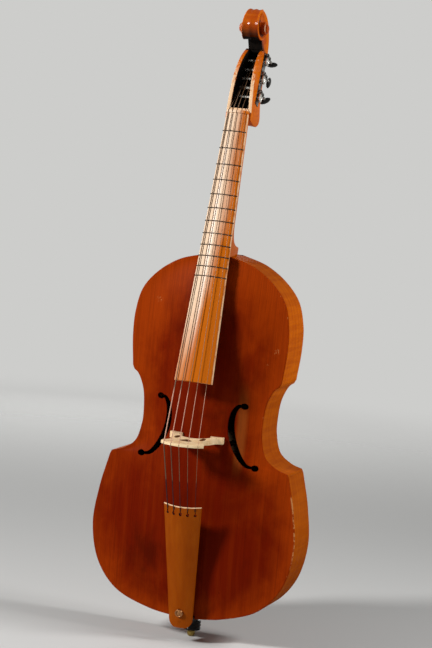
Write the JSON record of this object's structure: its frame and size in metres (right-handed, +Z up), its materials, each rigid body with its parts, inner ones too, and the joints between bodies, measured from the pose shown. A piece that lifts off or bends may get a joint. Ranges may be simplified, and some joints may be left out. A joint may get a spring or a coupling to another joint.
{
  "type": "viola da gamba",
  "caption": "Bass viola da gamba with a flat back, fixed frets, a carved scroll, geared tuning machines, an arched bridge, a tailpiece and a sliding end pin.",
  "frame": {"origin": "on the outer face of the flat back, on its centre line, level with the widest part of the lower bout", "axes": "+X to the treble side, +Y out of the back, +Z up the neck to the scroll"},
  "size_m": [0.4302, 0.2947, 1.2772],
  "materials": {
    "belly_varnish": "gloss",
    "amber_varnish": "gloss",
    "tailpiece_wood": "satin",
    "head_varnish": "gloss",
    "pale_maple": "satin",
    "dark_fret": "satin",
    "wound_string": "satin",
    "plain_string": "satin",
    "machine_steel": "satin",
    "key_black": "gloss",
    "tail_cord": "matte",
    "ebony": "satin",
    "collar_black": "matte",
    "pin_brass": "satin",
    "bare_spruce": "matte"
  },
  "bodies": {
    "instrument": {"belly": "belly_varnish", "back": "amber_varnish", "rib_lower_treble": "amber_varnish", "rib_lower_bass": "amber_varnish", "rib_waist_treble": "amber_varnish", "rib_waist_bass": "amber_varnish", "rib_upper_treble": "amber_varnish", "rib_upper_bass": "amber_varnish", "corner_block_lower_treble": "bare_spruce", "corner_block_lower_bass": "bare_spruce", "corner_block_upper_treble": "bare_spruce", "corner_block_upper_bass": "bare_spruce", "tail_block": "bare_spruce", "neck_block": "bare_spruce", "bass_bar": "bare_spruce", "sound_post": "bare_spruce", "sound_post_plate": "bare_spruce", "back_brace": "bare_spruce", "neck": "head_varnish", "fingerboard": "pale_maple", "nut": "pale_maple", "fret_1": "dark_fret", "fret_2": "dark_fret", "fret_3": "dark_fret", "fret_4": "dark_fret", "fret_5": "dark_fret", "fret_6": "dark_fret", "fret_7": "dark_fret", "fret_8": "dark_fret", "fret_9": "dark_fret", "fret_10": "dark_fret", "fret_11": "dark_fret", "fret_12": "dark_fret", "string_1": "wound_string", "string_2": "wound_string", "string_3": "plain_string", "string_4": "plain_string", "string_5": "plain_string", "bridge": "pale_maple", "tailpiece": "tailpiece_wood", "tail_knob": "machine_steel", "tail_cord": "tail_cord", "saddle": "ebony", "end_collar": "collar_black", "machine_plate_treble": "machine_steel", "machine_plate_bass": "machine_steel"},
    "key_1": {"key_1": "key_black"},
    "key_2": {"key_2": "key_black"},
    "key_3": {"key_3": "key_black"},
    "key_4": {"key_4": "key_black"},
    "key_5": {"key_5": "key_black"},
    "roller_1": {"roller_1": "machine_steel"},
    "roller_2": {"roller_2": "machine_steel"},
    "roller_3": {"roller_3": "machine_steel"},
    "roller_4": {"roller_4": "machine_steel"},
    "roller_5": {"roller_5": "machine_steel"},
    "end_pin": {"end_pin": "pin_brass"},
    "thumb_screw": {"thumb_screw": "machine_steel"}
  },
  "joints": [
    {"name": "key_1_turn", "type": "hinge", "parent": "instrument", "child": "key_1", "pos_m": [0.0304, -0.00926, 0.88968], "axis": [0, 0.8988, -0.4384], "continuous": true},
    {"name": "roller_1_turn", "type": "hinge", "parent": "instrument", "child": "roller_1", "pos_m": [0, -0.01421, 0.87953], "axis": [1, 0, 0], "continuous": true},
    {"name": "key_2_turn", "type": "hinge", "parent": "instrument", "child": "key_2", "pos_m": [-0.02937, -0.00027, 0.90811], "axis": [0, 0.8988, -0.4384], "continuous": true},
    {"name": "roller_2_turn", "type": "hinge", "parent": "instrument", "child": "roller_2", "pos_m": [0, -0.00522, 0.89795], "axis": [1, 0, 0], "continuous": true},
    {"name": "key_3_turn", "type": "hinge", "parent": "instrument", "child": "key_3", "pos_m": [0.02835, 0.00872, 0.92653], "axis": [0, 0.8988, -0.4384], "continuous": true},
    {"name": "roller_3_turn", "type": "hinge", "parent": "instrument", "child": "roller_3", "pos_m": [0, 0.00376, 0.91638], "axis": [1, 0, 0], "continuous": true},
    {"name": "key_4_turn", "type": "hinge", "parent": "instrument", "child": "key_4", "pos_m": [-0.02732, 0.0177, 0.94496], "axis": [0, 0.8988, -0.4384], "continuous": true},
    {"name": "roller_4_turn", "type": "hinge", "parent": "instrument", "child": "roller_4", "pos_m": [0, 0.01275, 0.9348], "axis": [1, 0, 0], "continuous": true},
    {"name": "key_5_turn", "type": "hinge", "parent": "instrument", "child": "key_5", "pos_m": [0.0263, 0.02669, 0.96338], "axis": [0, 0.8988, -0.4384], "continuous": true},
    {"name": "roller_5_turn", "type": "hinge", "parent": "instrument", "child": "roller_5", "pos_m": [0, 0.02174, 0.95323], "axis": [1, 0, 0], "continuous": true},
    {"name": "pin_slide", "type": "slide", "parent": "instrument", "child": "end_pin", "axis": [0, 0, -1], "range_m": [0, 0.25]},
    {"name": "screw_turn", "type": "hinge", "parent": "instrument", "child": "thumb_screw", "pos_m": [0, -0.035, -0.196], "axis": [0, 1, 0], "range_deg": [0, 360]}
  ],
  "couplings": [
    {"joint": "roller_1_turn", "follows": "key_1_turn", "ratio": 0.066667},
    {"joint": "roller_2_turn", "follows": "key_2_turn", "ratio": 0.066667},
    {"joint": "roller_3_turn", "follows": "key_3_turn", "ratio": 0.066667},
    {"joint": "roller_4_turn", "follows": "key_4_turn", "ratio": 0.066667},
    {"joint": "roller_5_turn", "follows": "key_5_turn", "ratio": 0.066667}
  ]
}
